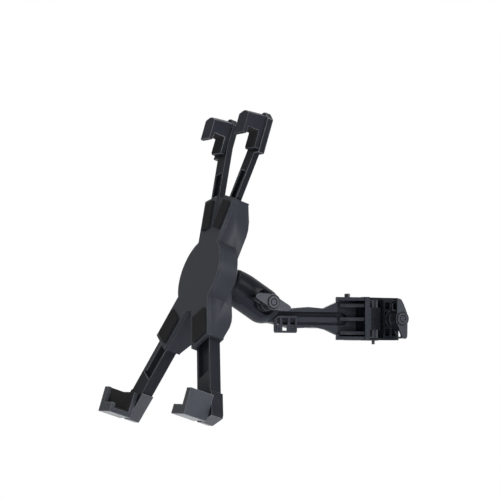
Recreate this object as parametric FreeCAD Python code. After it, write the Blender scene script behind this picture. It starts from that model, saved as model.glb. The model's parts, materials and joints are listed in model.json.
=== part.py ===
import FreeCAD, Part
import math
import os

Vec = FreeCAD.Vector

# Frame: the origin is on the pole's axis at half the clamp's height, +Z runs up the pole,
# the arm runs towards -X, and both wing knobs face -Y. Every size is in millimetres.

# Fits
run_gap = 0.05
seat_gap = 0.3
slide_gap = 0.2
press_gap = 0.02

# Pole clamp
pole_radius = 8.0
pad_thickness = 2.0
pad_half_height = 15.0
pad_half_angle = 60.0
jaw_half_height = 19.2
flange_thickness = 3.0
cover_thickness = 2.0
shell_wall = 3.5
rib_thickness = 3.0
rib_heights = (11.8, -0.5, -13.0)
rib_left_front = -9.6
rib_right_front = -16.1
side_space_width = 6.5
jaw_left = -34.7
jaw_left_wall = 3.0
jaw_web_thickness = 2.0
jaw_front_left = -12.5
jaw_slant = 0.577
jaw_back = 3.2
jaw_front_right = -16.9
core_right = -21.3
bar_left = -7.0
bar_right = -2.0
bar_front = -17.6
block_radius = 18.0
block_half_height = 10.0
fork_left = 15.0
fork_right = 31.0
fork_front = -14.0
fork_back = -4.0
slot_half_height = 3.7
slot_left = 23.0
fork_pocket_depth = 4.5
fork_seat_half = 6.4
fork_seat_depth = 2.2
fork_link_front = -8.0
fork_link_back = -4.6
hinge_x = -16.5
hinge_y = -2.4
hinge_pin_radius = 1.5
hinge_head_radius = 2.6
hinge_head_height = 3.6
knuckle_radius = 4.0
bolt_x = 24.0
bolt_y = 17.8
bolt_radius = 2.9
bolt_eye_radius = 4.2
bolt_eye_half_height = 4.0
bolt_engagement = 12.3
bolt_pin_radius = 1.5
bolt_pin_stub = 3.4
ear_radius = 4.7
back_flange_radius = 17.0

# Wing knob, the same moulding at the clamp and at the ball socket
knob_base_radius = 7.5
knob_base_height = 5.0
knob_core_radius = 6.9
knob_height = 15.2
knob_wing_start = 3.6
knob_tip_start = 6.0
knob_face = 2.0
knob_window_inner = 8.6
knob_window_outer = 14.8
knob_window_front = 2.3
knob_window_back = 6.6
cap_radius = 6.0
cap_recess = 0.9
cap_height = 1.7
cap_groove = 0.35
insert_radius = 4.5
insert_height = 9.0
bore_depth = 13.0
washer_radius = 8.0
washer_thickness = 1.5
clamp_knob_turn = 61.7

# Arm and cable clip
arm_half_width = 9.0
channel_depth = 2.6
channel_top = 5.6
channel_bottom = -6.3
channel_right = -20.8
arm_top = 8.5
arm_bottom = -8.6
gusset_inner = 5.0
gusset_left = -47.0
gusset_height = 14.7
channel_rib_top = 0.9
channel_rib_bottom = -3.6
channel_rib_right = -26.3
channel_rib_depth = 0.7
channel_rib_low_depth = 1.9
arm_reach = 131.2
ball_height = 26.4
ball_centre = Vec(-arm_reach, 0.0, ball_height)
channel_left = -arm_reach + 36.0
clip_left = -arm_reach + 33.9
clip_length = 23.1
clip_right = clip_left + clip_length
clip_top = 1.6
clip_bottom = -13.4
clip_bars = ((0.0, 2.6), (5.6, 7.6), (13.7, 16.1), (21.4, 23.1))
clip_thickness = 1.8
clip_corner = 1.2
clip_lip = 1.0
clip_lip_height = 1.6
clip_window_top = -0.2
clip_window_bottom = -6.2
clip_hole_top = -7.2
clip_hole_bottom = -11.4
clip_groove = 1.0
clip_groove_width = 0.9
clip_groove_pitch = 1.65
clip_snap_gap = 0.1
clip_prong_gap = 0.15

# Ball socket
socket_pitch = 31.0
ball_radius = 11.0
seat_wall = 1.3
seat_front = -6.5
seat_back = 8.5
barrel_radius = 16.1
barrel_mouth_radius = 14.6
barrel_rise = 0.7
barrel_shoulder = 8.0
barrel_mouth = -8.0
barrel_mouth_round = 3.5
slit_half_width = 1.3
slit_length = 10.0
barrel_tail = 31.1
shell_split = 0.25
screw_offset = 26.0
spot_radius = 11.5
spot_depth = 12.6
tongue_half_width = 4.0
tongue_half_height = 7.0
tongue_eye_radius = 8.0
tongue_end = 50.0
hex_half_flats = 5.0
hex_height = 4.0

# Ball stud and cradle: local X runs back from the screen, local Z up along the screen
lean = 17.4
glass_to_ball = 48.0
tablet_rise = 1.0
tablet_width = 155.3
tablet_height = 254.2
tablet_thickness = 8.2
neck_radius = 4.5
shaft_radius = 4.0
shaft_length = 13.3
hub_back = -12.5
hub_wall = 5.0
hub_joint = -34.5
plate_thickness = 3.5
hub_radius = 34.0
hub_cavity_radius = 30.5
hub_cap_cavity_radius = 19.0
hub_dome_radius = 23.0
hub_dome_rim = -19.5
hub_screw_seat = 6.0
sleeve_flat = 45.0
sleeve_end = 72.5
sleeve_tip_back = -21.7
sleeve_wall = 3.0
bar_back = -23.5
top_bar_back = -28.3
hub_screw_ring = 26.0
hub_screw_radius = 1.5
screw_head_height = 1.9
screw_seat_depth = 2.4
hub_boss_radius = 4.0
stud_washer_radius = 9.0
stud_washer_thickness = 1.5
stud_nut_half_flats = 6.5
stud_nut_height = 5.5
pad_rubber = 1.5

# Sliding arms of the cradle
top_angle = 13.0
top_bar_width = 14.0
top_bar_inner = 58.0
top_bar_outer = 128.0
low_angle = 30.5
low_bar_width = 20.0
low_bar_inner = 52.0
low_bar_outer = 136.0

# Corner brackets and top hooks
grip_gap = 0.35
grip_rubber = 1.0
bracket_wall = 3.2
bracket_floor = 4.4
bracket_reach = 23.0
lip_front = -56.8
lip_thickness = 3.5
lip_side_width = 7.4
lip_floor_height = 8.6
bracket_back = hub_joint + slide_gap
end_block_back = bar_back + 0.7
hook_offset = 31.0
hook_width = 17.0
hook_front = -53.0
hook_plate = 3.5
hook_overlap = 5.0
hook_bridge_height = 12.0
hook_roof_drop = 2.4
hook_roof_rise = 2.6
top_block_width = 20.0
top_block_rise = 7.5
top_block_length = 38.0
top_block_eave = 6.0


def box(x0, x1, y0, y1, z0, z1):
    return Part.makeBox(x1 - x0, y1 - y0, z1 - z0, Vec(x0, y0, z0))


def rod(radius, start, end):
    along = end - start
    return Part.makeCylinder(radius, along.Length, start, along)


def prism(points, along):
    face = Part.Face(Part.makePolygon(points + points[:1]))
    return face.extrude(along)


def plan_prism(outline, z0, z1):
    return prism([Vec(x, y, z0) for x, y in outline], Vec(0, 0, z1 - z0))


def side_prism(outline, y0, y1):
    return prism([Vec(x, y0, z) for x, z in outline], Vec(0, y1 - y0, 0))


def front_prism(outline, x0, x1):
    return prism([Vec(x0, y, z) for y, z in outline], Vec(x1 - x0, 0, 0))


def join(shapes):
    return shapes[0].multiFuse(shapes[1:]).removeSplitter()


def less(shape, tools):
    return shape.cut(tools).removeSplitter()


def sector(inner, outer, start, sweep, z0, z1):
    """Part of a ring about the pole's axis, from the angle start, in degrees."""
    wedge = Part.makeCylinder(outer, z1 - z0, Vec(0, 0, z0), Vec(0, 0, 1), sweep)
    wedge.rotate(Vec(0, 0, 0), Vec(0, 0, 1), start)
    return wedge.cut(rod(inner, Vec(0, 0, z0), Vec(0, 0, z1)))


def turned(profile):
    """Solid of revolution about local X of a closed wire in the XZ plane."""
    return Part.Face(Part.Wire(profile)).revolve(Vec(0, 0, 0), Vec(1, 0, 0), 360)


def hexagon_prism(half_flats, along_axis, start, end, centre_a, centre_b):
    corner = half_flats / math.cos(math.radians(30))
    ring = []
    for step in range(6):
        angle = math.radians(60 * step + 30)
        ring.append((centre_a + corner * math.cos(angle), centre_b + corner * math.sin(angle)))
    if along_axis == "y":
        return side_prism(ring, start, end)
    return front_prism(ring, start, end)


def at_socket(shape):
    """Move a shape from the socket's frame (local X along the barrel, to its tail)."""
    shape.rotate(Vec(0, 0, 0), Vec(0, 1, 0), socket_pitch)
    shape.translate(ball_centre)
    return shape


def at_cradle(shape):
    """Move a shape from the cradle's frame (local X away from the screen)."""
    shape.rotate(Vec(0, 0, 0), Vec(0, 1, 0), lean)
    shape.translate(ball_centre)
    return shape


pad_radius = pole_radius + pad_thickness
screw_point = at_socket(Part.Vertex(screw_offset, 0, 0)).Point
parts = {}


# Clamp: the arm's own front jaw
def slant_x(y):
    """The jaw's left side leans, so it is further left at its front than at its back."""
    return jaw_left + jaw_slant * (y - jaw_front_left)


def jaw_plan(y0, y1, x_right):
    return [(slant_x(y0), y0), (x_right, y0), (x_right, y1), (slant_x(y1), y1)]


def fork_pockets():
    low = washer_radius + 0.8
    high = jaw_half_height - cover_thickness - 2.0
    tools = []
    for side in (1, -1):
        z0, z1 = sorted((side * low, side * high))
        for x0, x1 in ((fork_left + 1.6, fork_left + 6.6), (fork_left + 8.6, fork_right - 1.6)):
            tools.append(box(x0, x1, fork_front - 1, fork_front + fork_pocket_depth, z0, z1))
    return tools


def fixed_jaw():
    inner = jaw_half_height - flange_thickness
    flange_plan = [(jaw_left, jaw_front_left), (bar_left, jaw_front_right),
                   (bar_right, jaw_front_right), (bar_right, -pole_radius), (-pad_radius, -3.0),
                   (-pad_radius - 0.6, 0.8), (hinge_x + 3.6, 2.6), (hinge_x, jaw_back),
                   (slant_x(jaw_back), jaw_back)]
    wall_plan = [(jaw_left, jaw_front_left), (jaw_left + jaw_left_wall, jaw_front_left),
                 (slant_x(jaw_back) + jaw_left_wall, jaw_back), (slant_x(jaw_back), jaw_back)]
    web_back = jaw_web_thickness - arm_half_width
    pieces = []
    for low, high in ((inner, jaw_half_height), (-jaw_half_height, -inner)):
        pieces.append(plan_prism(flange_plan, low, high))
    rib_plan = [(slant_x(web_back), web_back), (slant_x(rib_left_front), rib_left_front),
                (bar_left, rib_right_front), (bar_left, -arm_half_width), (-11.0, web_back)]
    for centre in rib_heights:
        half = rib_thickness / 2
        pieces.append(plan_prism(rib_plan, centre - half, centre + half))
    pieces.append(plan_prism(wall_plan, -jaw_half_height, jaw_half_height))
    pieces.append(plan_prism(jaw_plan(-arm_half_width, web_back, -11.5), -inner, inner))
    pieces.append(plan_prism(jaw_plan(-arm_half_width, jaw_back, core_right), -inner, inner))
    pieces.append(sector(pad_radius, pad_radius + shell_wall, -150, 75, -inner, inner))
    pieces.append(box(bar_left, bar_right, bar_front, -pad_radius, -jaw_half_height - 0.4, jaw_half_height + 0.4))
    pieces.append(sector(pad_radius, block_radius, -110, 75, -block_half_height, block_half_height))
    pieces.append(sector(pad_radius, pad_radius + shell_wall, -90, 70, -block_half_height, block_half_height))
    pieces.append(box(9.0, fork_left + 1.5, fork_link_front, fork_link_back, -block_half_height, block_half_height))
    cover_plan = [(bar_right - 1.0, bar_front + 1.4), (4.0, bar_front + 1.4), (fork_left, fork_front),
                  (fork_right, fork_front), (fork_right, fork_front + 6.0), (fork_left, fork_front + 6.0),
                  (bar_right - 1.0, -pad_radius - 1.0)]
    for low in (jaw_half_height - cover_thickness, -jaw_half_height):
        pieces.append(plan_prism(cover_plan, low, low + cover_thickness))
    pieces.append(box(fork_left, fork_right, fork_front, fork_back, -jaw_half_height, jaw_half_height))
    pole_space = rod(pad_radius, Vec(0, 0, -30), Vec(0, 0, 30))
    slot = box(slot_left, fork_right + 1, fork_front - 1, fork_back + 1, -slot_half_height, slot_half_height)
    slot_end = rod(slot_half_height, Vec(slot_left, fork_front - 1, 0), Vec(slot_left, fork_back + 1, 0))
    pin_hole = rod(hinge_pin_radius + press_gap, Vec(hinge_x, hinge_y, -30), Vec(hinge_x, hinge_y, 30))
    seat = box(fork_left + 1.6, fork_right + 1, fork_front - 1, fork_front + fork_seat_depth,
               -fork_seat_half, fork_seat_half)
    arm_side_space = box(jaw_left - 1, jaw_left - 1 + side_space_width, jaw_front_left - 1, -arm_half_width,
                         -gusset_height, gusset_height)
    tools = [pole_space, slot, slot_end, pin_hole, seat, arm_side_space] + fork_pockets()
    edge_drop = [(fork_right - 7.5, fork_front - 0.01), (fork_right + 1, fork_front - 0.01),
                 (fork_right + 1, fork_front + 1.6), (fork_right, fork_front + 1.4)]
    tools.append(plan_prism(edge_drop, -washer_radius - 0.8, washer_radius + 0.8))
    return less(join(pieces), tools)


def gusset(side):
    """Thin web that widens the arm into the jaw, on its front side only; side is 1 above, -1 below."""
    right = slant_x(-arm_half_width) + 1.0
    edge = arm_top if side > 0 else arm_bottom
    start = gusset_left if side > 0 else gusset_left - 4.0
    outline = [(start, edge), (gusset_left + 4.0, edge + side * 1.6), (right, side * gusset_height),
               (right, edge - side)]
    return side_prism(outline, -arm_half_width, -gusset_inner)


def arm_beam():
    waist = [(-41.6, arm_top), (-51.5, 9.2), (-61.4, 9.9), (-69.8, 9.2), (-79.2, 8.3)]
    belly = [(-66.3, -8.9), (-57.9, -7.8), (-51.0, arm_bottom)]
    shoulder = (-arm_reach + 39.1, ball_height - 12.4)
    heel = [(-arm_reach + 28.2, ball_height - 20.4), (-arm_reach + 30.2, ball_height - 30.4),
            (-arm_reach + 38.1, ball_height - 31.3), (-arm_reach + 57.9, -8.9)]
    outline = [(core_right, arm_top)] + waist + [shoulder] + heel + belly + [(core_right, arm_bottom)]
    beam = side_prism(outline, -arm_half_width, arm_half_width)
    barrel_tail_ball = at_socket(Part.makeSphere(barrel_radius + seat_gap, Vec(barrel_tail, 0, barrel_rise)))
    return less(join([beam, gusset(1), gusset(-1)]), [barrel_tail_ball])


def arm_channel_tools():
    """Obround channels in both sides of the arm, each with a low rib along its middle."""
    middle = (channel_top + channel_bottom) / 2
    half = (channel_top - channel_bottom) / 2
    tools = []
    for side, x_right in ((-1, channel_right), (1, jaw_left - 5.0)):
        face = side * (arm_half_width + 0.01)
        floor = side * (arm_half_width - channel_depth)
        y0, y1 = sorted((face, floor))
        groove = [box(channel_left, x_right - half, y0, y1, channel_bottom, channel_top)]
        groove.append(rod(half, Vec(x_right - half, face, middle), Vec(x_right - half, floor, middle)))
        rib_end = x_right + (channel_rib_right - channel_right)
        ribs = []
        runs = ((clip_right, rib_end, channel_rib_depth), (channel_left, clip_right, channel_rib_low_depth))
        for x0, x1, depth in runs:
            r0, r1 = sorted((side * (arm_half_width - depth), floor))
            ribs.append(box(x0, x1, r0, r1, channel_rib_bottom, channel_rib_top))
        tools.append(join(groove).cut(ribs))
    return tools


def tongue_shape(grow):
    eye = rod(tongue_eye_radius + grow, Vec(screw_offset, -tongue_half_width - grow, 0),
              Vec(screw_offset, tongue_half_width + grow, 0))
    bar = box(screw_offset, tongue_end, -tongue_half_width - grow, tongue_half_width + grow,
              -tongue_half_height - grow, tongue_half_height + grow)
    return join([eye, bar])


def arm_piece():
    tongue = at_socket(tongue_shape(0.0))
    whole = join([fixed_jaw(), arm_beam(), tongue])
    screw_hole = rod(bolt_radius + 0.1, screw_point + Vec(0, -30, 0), screw_point + Vec(0, 30, 0))
    return less(whole, arm_channel_tools() + [screw_hole])


def jaw_pad(start):
    return sector(pole_radius, pad_radius, start, 2 * pad_half_angle, -pad_half_height, pad_half_height)


parts["arm_with_front_jaw"] = arm_piece()
parts["front_jaw_pad"] = jaw_pad(-90 - pad_half_angle)

hinge_top = Vec(hinge_x, hinge_y, jaw_half_height)
hinge_low = Vec(hinge_x, hinge_y, -jaw_half_height)
hinge_head = rod(hinge_head_radius, hinge_top, hinge_top + Vec(0, 0, hinge_head_height))
parts["jaw_hinge_pin"] = join([rod(hinge_pin_radius, hinge_low, hinge_top), hinge_head])


# Clamp: the swinging back jaw and its eye bolt
def back_jaw():
    inner = jaw_half_height - flange_thickness - seat_gap
    knuckle = rod(knuckle_radius, Vec(hinge_x, hinge_y, -inner), Vec(hinge_x, hinge_y, inner))
    link = plan_prism([(hinge_x - 3.4, hinge_y + 2.0), (hinge_x + 4.0, hinge_y + 0.4), (-pad_radius - 0.1, 1.0),
                       (-7.5, 7.0), (-9.6, 11.5), (-14.0, 6.8)], -inner, inner)
    band = sector(pad_radius, pad_radius + 4.0, 62, 100, -inner, inner)
    ear_plan = [(3.0, pad_radius + 0.2), (5.5, 9.0), (bolt_x - 2.0, bolt_y - 4.4), (bolt_x + 2.0, bolt_y - 4.2),
                (bolt_x + 2.0, bolt_y + 4.2), (bolt_x - 1.5, bolt_y + 4.6), (4.0, 14.2)]
    beam = plan_prism(ear_plan, -inner, inner)
    pieces = [knuckle, link, band, beam]
    for low, high in ((inner - 2.6, jaw_half_height), (-jaw_half_height, 2.6 - inner)):
        pieces.append(sector(pad_radius, back_flange_radius, 64, 66, low, high))
        pieces.append(plan_prism(ear_plan, low, high))
        pieces.append(rod(ear_radius, Vec(bolt_x, bolt_y, low), Vec(bolt_x, bolt_y, high)))
    pieces.append(sector(pad_radius, back_flange_radius, 64, 78, -1.6, 1.6))
    pieces.append(rod(ear_radius, Vec(bolt_x, bolt_y, -inner), Vec(bolt_x, bolt_y, inner)))
    body = join(pieces)
    eye_space = box(bolt_x - 9.0, bolt_x + 12.0, bolt_y - 12.0, bolt_y + 12.0,
                    -bolt_eye_half_height - seat_gap, bolt_eye_half_height + seat_gap)
    hinge_hole = rod(hinge_pin_radius + run_gap, Vec(hinge_x, hinge_y, -30), Vec(hinge_x, hinge_y, 30))
    bolt_hole = rod(bolt_pin_radius + press_gap, Vec(bolt_x, bolt_y, -30), Vec(bolt_x, bolt_y, 30))
    ear_pocket_low = bolt_eye_half_height + 3.0
    pockets = []
    for side in (1, -1):
        z0, z1 = sorted((side * ear_pocket_low, side * (jaw_half_height - 6.0)))
        pockets.append(plan_prism([(7.5, 12.2), (bolt_x - 6.5, bolt_y - 2.2), (bolt_x - 6.5, bolt_y + 8.0),
                                   (5.5, 19.0)], z0, z1))
    pad_space = rod(pad_radius, Vec(0, 0, -30), Vec(0, 0, 30))
    return less(body, [eye_space, hinge_hole, bolt_hole, pad_space] + pockets)


def swing_bolt():
    eye = rod(bolt_eye_radius, Vec(bolt_x, bolt_y, -bolt_eye_half_height), Vec(bolt_x, bolt_y, bolt_eye_half_height))
    tip_y = clamp_knob_base - bolt_engagement
    shank = rod(bolt_radius, Vec(bolt_x, bolt_y, 0), Vec(bolt_x, tip_y, 0))
    hole = rod(bolt_pin_radius + run_gap, Vec(bolt_x, bolt_y, -10), Vec(bolt_x, bolt_y, 10))
    return less(join([eye, shank]), [hole])


clamp_washer_face = fork_front - seat_gap
clamp_knob_base = clamp_washer_face - washer_thickness - seat_gap
parts["back_jaw"] = back_jaw()
parts["back_jaw_pad"] = jaw_pad(90 - pad_half_angle)
parts["swing_bolt"] = swing_bolt()
parts["swing_bolt_pin"] = rod(bolt_pin_radius, Vec(bolt_x, bolt_y, -jaw_half_height - bolt_pin_stub),
                              Vec(bolt_x, bolt_y, jaw_half_height))


# Wing knob: local -Y is its front, the wings lie as on the ball socket
def knob_wing_outline():
    half = [(-2.5, 7.0), (-10.0, 7.6), (-15.4, 7.5), (-17.4, 6.0), (-17.6, 4.2), (-16.0, 2.6), (-7.2, -2.4)]
    return half + [(-x, -z) for x, z in half]


def wing_hollow(side):
    """Space under one wing, open at its tip; side is -1 for the left wing."""
    outline = [(6.0, -6.3), (20.0, -6.4), (20.0, -3.6), (16.0, -3.8), (7.2, 1.2), (6.0, 1.2)]
    return side_prism([(side * x, side * z) for x, z in outline], knob_face - knob_height, 0.0)


def wing_window(side):
    """Long opening through both side walls of one wing, between its face and its back rim."""
    x0, x1 = sorted((side * knob_window_inner, side * knob_window_outer))
    return box(x0, x1, knob_window_front - knob_height, -knob_window_back, -12.0, 12.0)


def wing_knob():
    base = rod(knob_base_radius, Vec(0, 0, 0), Vec(0, -knob_base_height, 0))
    core = rod(knob_core_radius, Vec(0, 0, 0), Vec(0, -knob_height, 0))
    wings = side_prism(knob_wing_outline(), -knob_height, -knob_wing_start)
    tools = [wing_hollow(1), wing_hollow(-1), wing_window(1), wing_window(-1)]
    for side in (1, -1):
        rise = [(side * 8.0, 1.0), (side * 8.0, -knob_wing_start), (side * 22.0, -knob_tip_start), (side * 22.0, 1.0)]
        tools.append(plan_prism(rise, -12.0, 12.0))
    wings = wings.cut(tools)
    body = join([base, core, wings])
    recess = rod(cap_radius + 0.2, Vec(0, -knob_height + cap_recess, 0), Vec(0, -knob_height - 1, 0))
    insert_hole = rod(insert_radius + press_gap, Vec(0, 1, 0), Vec(0, -insert_height, 0))
    bore = rod(bolt_radius + 0.3, Vec(0, 1, 0), Vec(0, -bore_depth, 0))
    return less(body, [recess, insert_hole, bore])


def knob_cap():
    low = -knob_height + cap_recess
    disc = rod(cap_radius, Vec(0, low, 0), Vec(0, low - cap_height, 0))
    outer = rod(cap_radius - 1.1, Vec(0, low - cap_height + cap_groove, 0), Vec(0, low - cap_height - 1, 0))
    inner = rod(cap_radius - 1.6, Vec(0, low, 0), Vec(0, low - cap_height - 2, 0))
    return less(disc, [outer.cut(inner)])


def knob_insert():
    sleeve = rod(insert_radius, Vec(0, 0, 0), Vec(0, -insert_height, 0))
    return less(sleeve, [rod(bolt_radius + run_gap, Vec(0, 1, 0), Vec(0, -insert_height - 1, 0))])


def washer_at(point, face_y):
    ring = rod(washer_radius, Vec(point.x, face_y, point.z), Vec(point.x, face_y - washer_thickness, point.z))
    return less(ring, [rod(bolt_radius + 0.1, Vec(point.x, face_y + 1, point.z), Vec(point.x, face_y - 5, point.z))])


def add_knob(name, point, base_y, turn):
    for suffix, maker in (("", wing_knob), ("_cap", knob_cap), ("_insert", knob_insert)):
        piece = maker()
        piece.rotate(Vec(0, 0, 0), Vec(0, 1, 0), turn)
        piece.translate(Vec(point.x, base_y, point.z))
        parts[name + suffix] = piece


parts["clamp_washer"] = washer_at(Vec(bolt_x, 0, 0), clamp_washer_face)
add_knob("clamp_knob", Vec(bolt_x, 0, 0), clamp_knob_base, clamp_knob_turn)


# Cable clip: a ladder-like plate that snaps into the arm's near channel and hangs below the arm
def cable_clip():
    back = -arm_half_width - clip_snap_gap
    front = back - clip_thickness
    plate = side_prism([(clip_left, clip_window_top - 1.0), (clip_left + 4.0, clip_top), (clip_right, clip_top),
                        (clip_right, clip_bottom + clip_corner), (clip_right - clip_corner, clip_bottom),
                        (clip_left + clip_corner, clip_bottom), (clip_left, clip_bottom + clip_corner)], front, back)
    lip = box(clip_left + clip_corner, clip_right - clip_corner, front, back + clip_lip,
              clip_bottom, clip_bottom + clip_lip_height)
    prong_low = channel_bottom + clip_prong_gap
    prong_high = channel_rib_bottom - clip_prong_gap
    prong_tip = -arm_half_width + channel_depth - clip_prong_gap
    tools = []
    pieces = [plate, lip]
    windows = [(clip_left + left[1], clip_left + right[0]) for left, right in zip(clip_bars, clip_bars[1:])]
    for x0, x1 in windows:
        tools.append(box(x0, x1, front - 1, back + 0.5, clip_window_bottom, clip_window_top))
    hole_left, hole_right = windows[1]
    tools.append(box(hole_left + 0.5, hole_right - 0.5, front - 1, back + clip_lip + 1,
                     clip_hole_bottom, clip_hole_top))
    cell_left, cell_right = windows[2]
    for step in range(3):
        low = clip_hole_bottom + step * clip_groove_pitch
        tools.append(box(cell_left, cell_right, front - 1, front + clip_groove, low, low + clip_groove_width))
    for x0 in (clip_left + 1.4, clip_left + 4.2):
        tools.append(box(x0, x0 + clip_groove_width, front - 1, front + clip_groove, clip_hole_bottom, clip_hole_top))
    for x0, x1 in clip_bars[2:]:
        pieces.append(box(clip_left + x0, clip_left + x1, back - 0.5, prong_tip, prong_low, prong_high))
    return join([less(join(pieces[:2]), tools)] + pieces[2:])


parts["cable_clip"] = cable_clip()


# Ball socket: two half shells that the screw and wing knob squeeze
def barrel_solid():
    """Round barrel along local X: a rounded mouth, a swelling middle and a ball-shaped tail."""
    mouth = barrel_mouth
    bend = barrel_mouth_round
    lip = barrel_mouth_radius
    radius = barrel_radius
    tail = barrel_tail
    slant = math.sqrt(0.5)
    edge = bend * (1 - slant)
    lip_end = Vec(mouth + bend, 0, lip)
    swell = Vec((mouth + bend + barrel_shoulder) / 2, 0, lip + 0.62 * (radius - lip))
    shoulder = Vec(barrel_shoulder, 0, radius)
    profile = [
        Part.LineSegment(Vec(mouth, 0, 0), Vec(mouth, 0, lip - bend)).toShape(),
        Part.Arc(Vec(mouth, 0, lip - bend), Vec(mouth + edge, 0, lip - edge), lip_end).toShape(),
        Part.Arc(lip_end, swell, shoulder).toShape(),
        Part.LineSegment(shoulder, Vec(tail, 0, radius)).toShape(),
        Part.Arc(Vec(tail, 0, radius), Vec(tail + radius * slant, 0, radius * slant),
                 Vec(tail + radius, 0, 0)).toShape(),
        Part.LineSegment(Vec(tail + radius, 0, 0), Vec(mouth, 0, 0)).toShape()]
    barrel = turned(profile)
    barrel.translate(Vec(0, 0, barrel_rise))
    return barrel


def socket_shell(side):
    barrel = barrel_solid()
    y0, y1 = sorted((side * shell_split, side * 30.0))
    half = barrel.common(box(-60, 60, y0, y1, -30, 30))
    cavity = Part.makeSphere(ball_radius + seat_wall + 2 * seat_gap)
    slot = tongue_shape(0.15)
    hole = rod(bolt_radius + 0.1, Vec(screw_offset, -30, 0), Vec(screw_offset, 30, 0))
    spot = rod(spot_radius, Vec(screw_offset, side * spot_depth, 0), Vec(screw_offset, side * 30, 0))
    slit = box(barrel_mouth - 1, barrel_mouth + slit_length, -slit_half_width, slit_half_width, -30, 0)
    return at_socket(less(half, [cavity, slot, hole, spot, slit]))


def ball_seat():
    inner = ball_radius + seat_gap
    shell = Part.makeSphere(inner + seat_wall).cut(Part.makeSphere(inner))
    band = shell.common(box(seat_front, seat_back, -30, 30, -30, 30))
    slits = [box(seat_front - 1, 2.0, -0.6, 0.6, 0, 30), box(seat_front - 1, 2.0, -0.6, 0.6, -30, 0),
             box(seat_front - 1, 2.0, -30, 0, -0.6, 0.6), box(seat_front - 1, 2.0, 0, 30, -0.6, 0.6)]
    return at_socket(less(band, slits))


def socket_screw():
    head = hexagon_prism(hex_half_flats, "y", spot_depth, spot_depth + hex_height, screw_offset, 0.0)
    tip = socket_knob_base - bolt_engagement
    shank = rod(bolt_radius, Vec(screw_offset, spot_depth, 0), Vec(screw_offset, tip, 0))
    return at_socket(join([head, shank]))


socket_knob_base = -spot_depth - washer_thickness - seat_gap
parts["socket_shell_front"] = socket_shell(-1)
parts["socket_shell_back"] = socket_shell(1)
parts["ball_seat"] = ball_seat()
parts["socket_screw"] = socket_screw()
parts["socket_washer"] = washer_at(screw_point, -spot_depth)
add_knob("socket_knob", screw_point, socket_knob_base, 0.0)


# Ball stud with its washer and nut inside the hub
def ball_stud():
    ball = Part.makeSphere(ball_radius)
    shoulder = hub_back + seat_gap
    neck = rod(neck_radius, Vec(0, 0, 0), Vec(shoulder, 0, 0))
    shaft = rod(shaft_radius, Vec(shoulder, 0, 0), Vec(shoulder - shaft_length, 0, 0))
    flat = box(ball_radius - 1.2, ball_radius + 1, -20, 20, -20, 20)
    return at_cradle(less(join([ball, neck, shaft]), [flat]))


def stud_washer():
    face = hub_back - hub_wall - seat_gap
    ring = rod(stud_washer_radius, Vec(face, 0, 0), Vec(face - stud_washer_thickness, 0, 0))
    return at_cradle(less(ring, [rod(shaft_radius + press_gap, Vec(0, 0, 0), Vec(-40, 0, 0))]))


def stud_nut():
    face = hub_back - hub_wall - seat_gap - stud_washer_thickness
    nut = hexagon_prism(stud_nut_half_flats, "x", face - stud_nut_height, face, 0.0, 0.0)
    return at_cradle(less(nut, [rod(shaft_radius + press_gap, Vec(0, 0, 0), Vec(-40, 0, 0))]))


parts["ball_stud"] = ball_stud()
parts["stud_washer"] = stud_washer()
parts["stud_nut"] = stud_nut()


# Cradle hub: a back shell with four sleeves, and a front plate that closes it
arm_sets = [("top_left", top_angle, top_bar_width, top_bar_back),
            ("top_right", -top_angle, top_bar_width, top_bar_back),
            ("bottom_left", 180 - low_angle, low_bar_width, bar_back),
            ("bottom_right", 180 + low_angle, low_bar_width, bar_back)]


def spun(shape, angle):
    """Turn a shape that lies along local +Z about the stud's axis; +Y is the left side."""
    shape.rotate(Vec(0, 0, 0), Vec(1, 0, 0), -angle)
    return shape


def sleeve_body(width):
    half = width / 2 + sleeve_wall
    back = [(hub_back, 0), (hub_back, sleeve_flat), (-13.1, 50.6), (-15.3, 57.7), (-19.6, 66.5),
            (sleeve_tip_back, sleeve_end - 1.5), (sleeve_tip_back, sleeve_end)]
    profile = [Vec(hub_joint, -half, 0)] + [Vec(x, -half, z) for x, z in back] + [Vec(hub_joint, -half, sleeve_end)]
    return prism(profile, Vec(0, 2 * half, 0))


def sleeve_channel(width, back):
    half = width / 2 + slide_gap
    return box(hub_joint - 1, back + slide_gap, -half, half, 24.0, sleeve_end + 5)


def screw_spots():
    ring = hub_screw_ring
    return [(0.0, ring), (ring, 0.0), (0.0, -ring), (-ring, 0.0)]


def hub_back_shell():
    seat = hub_back - hub_screw_seat
    dome = Part.makeCone(hub_radius, hub_dome_radius, hub_back - hub_dome_rim, Vec(hub_dome_rim, 0, 0), Vec(1, 0, 0))
    pieces = [rod(hub_radius, Vec(hub_joint, 0, 0), Vec(hub_dome_rim, 0, 0)), dome]
    for name, angle, width, back in arm_sets:
        pieces.append(spun(sleeve_body(width), angle))
    solid = join(pieces)
    tools = [rod(hub_cavity_radius, Vec(hub_joint - 1, 0, 0), Vec(hub_dome_rim - 2.0, 0, 0)),
             rod(hub_cap_cavity_radius, Vec(hub_joint - 1, 0, 0), Vec(hub_back - hub_wall, 0, 0))]
    tools += [spun(sleeve_channel(width, back), angle) for name, angle, width, back in arm_sets]
    hollow = less(solid, tools)
    bosses = [rod(hub_boss_radius, Vec(hub_joint, y, z), Vec(hub_dome_rim, y, z)) for y, z in screw_spots()]
    shell = join([hollow] + bosses)
    holes = [rod(shaft_radius + run_gap, Vec(0, 0, 0), Vec(-40, 0, 0))]
    for y, z in screw_spots():
        holes.append(rod(hub_screw_radius + press_gap, Vec(0, y, z), Vec(-50, y, z)))
        holes.append(rod(2 * hub_screw_radius + 0.2, Vec(0, y, z), Vec(seat, y, z)))
    return at_cradle(less(shell, holes))


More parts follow.
